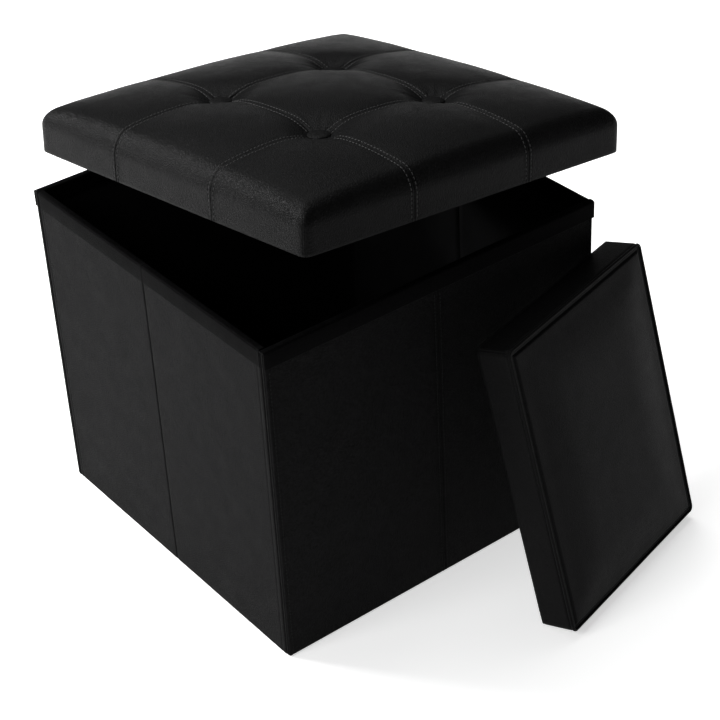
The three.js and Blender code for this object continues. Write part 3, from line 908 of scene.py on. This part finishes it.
def lid_pieces():
    matrix = lid_matrix()
    pad = make_lid_pad()
    half = pad.half_x
    fine = (-LID_SIDE_SEAMS, LID_SIDE_SEAMS)
    seams_and_edges = fine + (-half, half)
    lines = spaced(-half, half, 2.6 * MM, fine_at=seams_and_edges, fine_reach=6 * MM, fine_step=1.0 * MM)
    rows = spaced(0.0, pad.height, 2.5 * MM)
    coarse = spaced(-half, half, 11 * MM, fine_at=fine, fine_reach=6 * MM, fine_step=6 * MM)
    coarse_rows = spaced(0.0, pad.height, 8 * MM)
    pad.swell = simulated_swell(pad, coarse, coarse, coarse_rows, LID_HEM, lid_held_at, 6 * MM)
    cover = pad_mesh("lid_cushion", pad, lines, lines, rows, LID_HEM)
    place_in_mesh(cover, matrix)
    face_outwards(cover)
    finish_piece(cover, LID_LEATHER, "lid", ["lid_cover", "lid_foam"])
    lid_stitching(pad, matrix)
    lid_buttons(pad, matrix)
    lid_underside(matrix)


def lid_path(pad, offset, along_y):
    """A line of (point, normal) up one side of the lid, over its top and down the other side."""
    stops = [(-pad.half_y, z) for z in np.linspace(3 * MM, pad.height, 24)]
    stops += [(y, pad.height) for y in np.linspace(-pad.half_y, pad.half_y, 150)[1:-1]]
    stops += [(pad.half_y, z) for z in np.linspace(pad.height, 3 * MM, 24)]
    run = []
    for travel, z in stops:
        x, y = (offset, travel) if along_y else (travel, offset)
        spot, out = pad.point(x, y, z)
        run.append((spot, out))
    return run


def lid_stitching(pad, matrix):
    runs = []
    for line in (-LID_SIDE_SEAMS, LID_SIDE_SEAMS):
        for row in (-SEAM_ROW_OFFSET, SEAM_ROW_OFFSET):
            for along_y in (True, False):
                runs += clear_of_buttons(lid_path(pad, line + row, along_y))
    stitches = stitch_mesh("lid_stitching", runs)
    place_in_mesh(stitches, matrix)
    finish_piece(stitches, THREAD, "lid")


def clear_of_buttons(run):
    """The parts of a run that no button covers."""
    parts, current = [], []
    for spot, out in run:
        under = any(math.hypot(spot.x - bx, spot.y - by) < BUTTON_RADIUS for bx, by in BUTTONS.values())
        if under and current:
            parts.append(current)
            current = []
        elif not under:
            current.append((spot, out))
    if current:
        parts.append(current)
    return [part for part in parts if len(part) > 3]


def covered_button():
    """A low dome whose leather gathers in small pleats under its rim."""
    deselect_all()
    bpy.ops.mesh.primitive_uv_sphere_add(segments=48, ring_count=24, radius=1)
    button = bpy.context.object
    for vertex in button.data.vertices:
        x, y, z = vertex.co
        spread = math.hypot(x, y)
        pleat = 1 + 0.018 * math.cos(18 * math.atan2(y, x)) * max(0.0, 0.6 - z)
        fullness = spread ** -0.2 if z > 0 and spread > 1e-6 else 1.0
        scale = BUTTON_RADIUS * pleat * fullness
        vertex.co = (x * scale, y * scale, (2.6 if z > 0 else 2.0) * MM * z)
    button.data.polygons.foreach_set("use_smooth", [True] * len(button.data.polygons))
    return button


def lid_buttons(pad, matrix):
    """Four covered buttons, each pulled down into its dimple."""
    model = covered_button()
    for name, (bx, by) in BUTTONS.items():
        seat = pad.smooth_point(bx, by, pad.height)[0].z
        place = matrix @ Matrix.Translation((bx, by, seat + 1.7 * MM))
        button = copy_of(model, "covered_button_" + name, place)
        finish_piece(button, LID_LEATHER, "lid", ["lid_button_" + name])
    bpy.data.objects.remove(model)


def lid_underside(matrix):
    """Black cloth stapled under the board, over the turned-under leather."""
    half = LID_CLOTH_HALF
    lines = spaced(-half, half, 5 * MM)

    def place(x, y):
        edge = min(half - abs(x), half - abs(y))
        tuck = 0.25 * MM * ripple((x, y, 0), 16 * MM, 3.0) * math.exp(-edge / (25 * MM))
        sag = -0.12 * MM * min(edge / (40 * MM), 1) + 0.1 * MM * ripple((x, y, 0), 80 * MM, 4.0)
        return Vector((x, y, -0.45 * MM + tuck + sag))

    cloth = sheet_from_grid("lid_bottom_cloth", lines, lines, place, 0.4 * MM)
    place_in_mesh(cloth, matrix)
    face_outwards(cloth)
    finish_piece(cloth, LINING, "lid", ["lid_under_cloth"])
    lid_staples(half - 6 * MM, matrix)


def staple_wire():
    """One upholstery staple, as much of it as shows above the cloth."""
    deselect_all()
    bpy.ops.mesh.primitive_cube_add(size=1, location=(0, 0, -0.68 * MM), scale=(10 * MM, 0.7 * MM, 0.75 * MM))
    bpy.ops.object.transform_apply(location=True, rotation=True, scale=True)
    wire = bpy.context.object
    edges = wire.modifiers.new("edges", "BEVEL")
    edges.width = 0.15 * MM
    edges.segments = 1
    apply_modifiers(wire)
    return wire


def lid_staples(reach, matrix):
    """A row of upholstery staples along each edge of the bottom cloth."""
    random.seed(4)
    count = 11
    model = staple_wire()
    staples = []
    for side in range(4):
        turn = Matrix.Rotation(side * math.pi / 2, 4, "Z")
        for number in range(count):
            run = (number - (count - 1) / 2) * 2 * reach / count
            tilt = Matrix.Rotation(random.uniform(-0.12, 0.12), 4, "Z")
            place = matrix @ turn @ Matrix.Translation((run, -reach, 0)) @ tilt
            staples.append(copy_of(model, "staple", place))
    bpy.data.objects.remove(model)
    deselect_all()
    for staple in staples:
        staple.select_set(True)
    bpy.context.view_layer.objects.active = staples[0]
    bpy.ops.object.join()
    piece = bpy.context.object
    piece.name = "lid_staples"
    finish_piece(piece, STEEL, "lid")


def simulated_swell(pad, lines_x, lines_y, rows, hem, held_at, limit):
    """Blows the pad's cover up as cloth and returns how far each place moved, at most limit."""
    detail, pad.detail = pad.detail, lambda spot, out: 0.0
    form = pad_mesh("swelling_form", pad, lines_x, lines_y, rows, hem)
    pad.detail = detail
    only(form)
    bpy.ops.object.mode_set(mode="EDIT")
    bpy.ops.mesh.select_all(action="SELECT")
    bpy.ops.mesh.normals_make_consistent(inside=False)
    bpy.ops.object.mode_set(mode="OBJECT")
    held = form.vertex_groups.new(name="held")
    for vertex in form.data.vertices:
        held.add([vertex.index], held_at(vertex.co), "REPLACE")
    before = [vertex.co.copy() for vertex in form.data.vertices]
    cloth = form.modifiers.new("swelling", "CLOTH")
    settings = cloth.settings
    settings.quality = 6
    settings.mass = 0.4
    settings.tension_stiffness = 25
    settings.compression_stiffness = 12
    settings.shear_stiffness = 12
    settings.bending_stiffness = 2.0
    settings.use_pressure = True
    settings.uniform_pressure_force = 4.0
    settings.vertex_group_mass = "held"
    settings.effector_weights.gravity = 0.0
    cloth.point_cache.frame_start = 1
    cloth.point_cache.frame_end = CLOTH_FRAMES
    scene = bpy.context.scene
    for number in range(1, CLOTH_FRAMES + 1):
        scene.frame_set(number)
    shape = form.evaluated_get(bpy.context.evaluated_depsgraph_get())
    moves = [vertex.co - start for vertex, start in zip(shape.data.vertices, before)]
    moves = [move * min(1.0, limit / max(move.length, 1e-9)) for move in moves]
    scene.frame_set(1)
    bpy.data.objects.remove(form)
    tree = KDTree(len(before))
    for number, spot in enumerate(before):
        tree.insert(spot, number)
    tree.balance()
    reach = 13 * MM

    def swell(spot):
        total, weight = Vector((0, 0, 0)), 0.0
        for _, number, gap in tree.find_n(spot, 12):
            share = math.exp(-((gap / reach) ** 2))
            total += moves[number] * share
            weight += share
        return total / max(weight, 1e-9)

    return swell


def lid_held_at(spot):
    """How firmly the lid's cover is held: at its hem, its seams and its buttons."""
    if spot.z < 7 * MM:
        return 1.0
    gap = min(abs(abs(spot.x) - LID_SIDE_SEAMS), abs(abs(spot.y) - LID_SIDE_SEAMS))
    button = min(math.hypot(spot.x - bx, spot.y - by) for bx, by in BUTTONS.values())
    if button < 13 * MM:
        return 1.0
    if gap < 4 * MM:
        return 0.9
    return 0.6 if spot.z < LID_EDGE_HEIGHT - 16 * MM else 0.0


def panel_held_at(spot):
    """The panel's cover is held at its hem and along the piping."""
    edge = min(PANEL_SIZE[0] / 2 - abs(spot.x), PANEL_SIZE[1] / 2 - abs(spot.y))
    return 1.0 if spot.z < 7 * MM or (edge < 7 * MM and spot.z > PANEL_SIZE[2] - 9 * MM) else 0.0


# ------------------------------------------------------------------ loose panel

def panel_matrix():
    """From the panel lying flat on its back round the origin to where it leans."""
    low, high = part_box("panel_board")
    middle = (low + high) / 2
    upright = Matrix.Rotation(math.pi / 2, 4, "X")
    lean = Matrix.Rotation(-PANEL_LEAN, 4, "X")
    turn = Matrix.Rotation(PANEL_TURN, 4, "Z")
    settle = Matrix.Translation((0, 0, -PANEL_BOARD_MIDDLE))
    return Matrix.Translation(middle) @ turn @ lean @ upright @ settle


def panel_rise(x, y):
    """The slight crown of the panel's big face."""
    half_x, half_y = PANEL_SIZE[0] / 2, PANEL_SIZE[1] / 2
    across = max(1 - (x / (half_x - 4 * MM)) ** 2, 0)
    along = max(1 - (y / (half_y - 4 * MM)) ** 2, 0)
    return 3.4 * MM * (across * along) ** 0.45


def panel_detail(spot, out):
    """A groove beside the piping, a seam at each upright corner, and slight waves."""
    groove_place, groove_depth, groove_width = 5.5 * MM, 1.5 * MM, 1.6 * MM
    corner_depth, corner_width = 0.7 * MM, 0.6 * MM
    half_x, half_y = PANEL_SIZE[0] / 2, PANEL_SIZE[1] / 2
    amount = 0.28 * MM * ripple(spot, 60 * MM, 6.1) + 0.1 * MM * ripple(spot, 20 * MM, 1.9)
    if out.z > 0.7:
        edge = min(half_x - abs(spot.x), half_y - abs(spot.y))
        amount -= groove_depth * math.exp(-(((edge - groove_place) / groove_width) ** 2))
    if abs(out.z) < 0.7 and abs(out.x) > 1e-6 and abs(out.y) > 1e-6:
        turn = math.atan2(abs(out.y), abs(out.x)) - math.pi / 4
        amount -= corner_depth * math.exp(-((turn * 6 * MM / corner_width) ** 2))
    return amount


def panel_pieces():
    matrix = panel_matrix()
    pad = Pad(PANEL_SIZE, 6 * MM, 6 * MM, panel_rise, panel_detail)
    edges_x = (-pad.half_x, pad.half_x)
    edges_y = (-pad.half_y, pad.half_y)
    xs = spaced(*edges_x, 3 * MM, fine_at=edges_x, fine_reach=9 * MM)
    ys = spaced(*edges_y, 3 * MM, fine_at=edges_y, fine_reach=9 * MM)
    zs = spaced(0.0, pad.height, 2.5 * MM, fine_at=(pad.height,), fine_reach=7 * MM)
    coarse_x = spaced(*edges_x, 9 * MM)
    coarse_y = spaced(*edges_y, 9 * MM)
    coarse_rows = spaced(0.0, pad.height, 7 * MM)
    pad.swell = simulated_swell(pad, coarse_x, coarse_y, coarse_rows, PANEL_HEM, panel_held_at, 3 * MM)
    cover = pad_mesh("panel_cushion", pad, xs, ys, zs, PANEL_HEM)
    place_in_mesh(cover, matrix)
    face_outwards(cover)
    finish_piece(cover, PANEL_LEATHER, "panel", ["panel_cover", "panel_foam"])
    panel_piping(matrix)
    panel_back(matrix)


def panel_piping(matrix):
    """Corded piping round the big face: a tube on a rounded rectangle, slightly uneven."""
    radius = 1.5 * MM
    reach = 4.8 * MM
    core_x = PANEL_SIZE[0] / 2 - 6 * MM
    core_y = PANEL_SIZE[1] / 2 - 6 * MM
    level = PANEL_SIZE[2] - 6 * MM + reach
    route = []
    corners = ((core_x, -core_y, -90), (core_x, core_y, 0), (-core_x, core_y, 90), (-core_x, -core_y, 180))
    for number, (x, y, first) in enumerate(corners):
        for step in range(7):
            angle = math.radians(first + step * 15)
            route.append(Vector((x + reach * math.cos(angle), y + reach * math.sin(angle), level)))
        after = corners[(number + 1) % 4]
        start = route[-1]
        angle = math.radians(first + 90)
        end = Vector((after[0] + reach * math.cos(angle), after[1] + reach * math.sin(angle), level))
        pieces = round((end - start).length / (4 * MM))
        route += [start.lerp(end, share / pieces) for share in range(1, pieces)]
    sides = 12
    points = []
    count = len(route)
    for number, spot in enumerate(route):
        tangent = (route[(number + 1) % count] - route[number - 1]).normalized()
        across = tangent.cross(Vector((0, 0, 1)))
        size = radius * (1 + 0.05 * ripple(spot, 14 * MM, 3.0))
        for side in range(sides):
            angle = 2 * math.pi * side / sides
            points.append(spot + across * size * math.cos(angle) + Vector((0, 0, size * math.sin(angle))))
    piece = mesh_piece("panel_welt", points, ring_faces(count, sides, closed=True))
    place_in_mesh(piece, matrix)
    face_outwards(piece)
    finish_piece(piece, PANEL_LEATHER, "panel", ["panel_piping"])


def panel_back(matrix):
    """Black cloth closing the panel's back."""
    half_x = PANEL_SIZE[0] / 2 - 12 * MM
    half_y = PANEL_SIZE[1] / 2 - 12 * MM

    def place(x, y):
        edge = min(half_x - abs(x), half_y - abs(y))
        tuck = 0.2 * MM * ripple((x, y, 0), 18 * MM, 2.0) * math.exp(-edge / (20 * MM))
        return Vector((x, y, -0.3 * MM + tuck))

    columns = spaced(-half_x, half_x, 5 * MM)
    rows = spaced(-half_y, half_y, 5 * MM)
    piece = sheet_from_grid("panel_rear_cloth", columns, rows, place, 0.4 * MM)
    place_in_mesh(piece, matrix)
    face_outwards(piece)
    finish_piece(piece, LINING, "panel", ["panel_back_cloth"])


# ------------------------------------------------------------------ CAD pieces kept

def dress_kept_nodes():
    """Boards and twine keep their shape and get a real finish."""
    finishes = {"panel_board": FIBREBOARD, "lid_board": FIBREBOARD}
    for name in BUTTONS:
        finishes["lid_button_tie_" + name] = TWINE
    for name, material in finishes.items():
        kept = frame["nodes"][name]
        kept.data.materials.clear()
        kept.data.materials.append(material)


# ------------------------------------------------------------------ stage, light and camera

def studio():
    """A white floor and three soft lamps to the left, behind and overhead."""
    scene = bpy.context.scene
    scene.view_settings.view_transform = "Standard"
    world = bpy.data.worlds.new("studio")
    scene.world = world
    world.use_nodes = True
    world.node_tree.nodes["Background"].inputs["Color"].default_value = (1, 1, 1, 1)
    world.node_tree.nodes["Background"].inputs["Strength"].default_value = 0.1
    deselect_all()
    bpy.ops.mesh.primitive_plane_add(size=14, location=(0, 0, -0.3 * MM))
    floor = bpy.context.object
    floor.name = "floor"
    material, _, shader = new_material("pale_floor")
    shader.inputs["Base Color"].default_value = (0.9, 0.9, 0.9, 1)
    shader.inputs["Emission Color"].default_value = (1, 1, 1, 1)
    shader.inputs["Emission Strength"].default_value = 0.55
    shader.inputs["Roughness"].default_value = 0.6
    shader.inputs["Specular IOR Level"].default_value = 0.2
    floor.data.materials.append(material)
    lamps = (
        ("key", (-2.2, -0.1, 1.8), 1.2, 31.0),
        ("rim", (-1.3, 2.0, 1.6), 1.0, 76.0),
        ("overhead", (0.2, 1.2, 2.9), 2.4, 68.0),
    )
    for name, spot, size, power in lamps:
        light = bpy.data.lights.new(name, "AREA")
        light.shape = "SQUARE"
        light.size = size
        light.energy = power
        lamp = bpy.data.objects.new(name, light)
        scene.collection.objects.link(lamp)
        lamp.location = spot
        aim = Vector((0, 0, 0.25)) - Vector(spot)
        lamp.rotation_euler = aim.to_track_quat("-Z", "Y").to_euler()


def camera():
    """Looks down on the front left corner, rolled slightly."""
    back = Vector((
        math.sin(VIEW_AZIMUTH) * math.cos(VIEW_ELEVATION),
        -math.cos(VIEW_AZIMUTH) * math.cos(VIEW_ELEVATION),
        math.sin(VIEW_ELEVATION),
    ))
    right = Vector((math.cos(VIEW_AZIMUTH), math.sin(VIEW_AZIMUTH), 0))
    up = back.cross(right)
    turned_right = right * math.cos(VIEW_ROLL) + up * math.sin(VIEW_ROLL)
    turned_up = up * math.cos(VIEW_ROLL) - right * math.sin(VIEW_ROLL)
    target = Vector(VIEW_TARGET) + turned_right * VIEW_SHIFT[0] + turned_up * VIEW_SHIFT[1]
    lens = bpy.data.cameras.new("view")
    lens.sensor_width = 36
    lens.lens = 100
    eye = bpy.data.objects.new("view", lens)
    bpy.context.scene.collection.objects.link(eye)
    basis = Matrix((turned_right, turned_up, back)).transposed().to_4x4()
    eye.matrix_world = Matrix.Translation(target + back * VIEW_DISTANCE) @ basis
    bpy.context.scene.camera = eye


# ------------------------------------------------------------------ the whole object

walls = {name: Wall(name) for name in WALLS}
for wall in walls.values():
    wall_board(wall)
    wall_cover(wall)
    wall_lining(wall)
    wall_binding(wall)
fold_gussets(walls)
floor_sheet()
lid_pieces()
panel_pieces()
dress_kept_nodes()
studio()
camera()
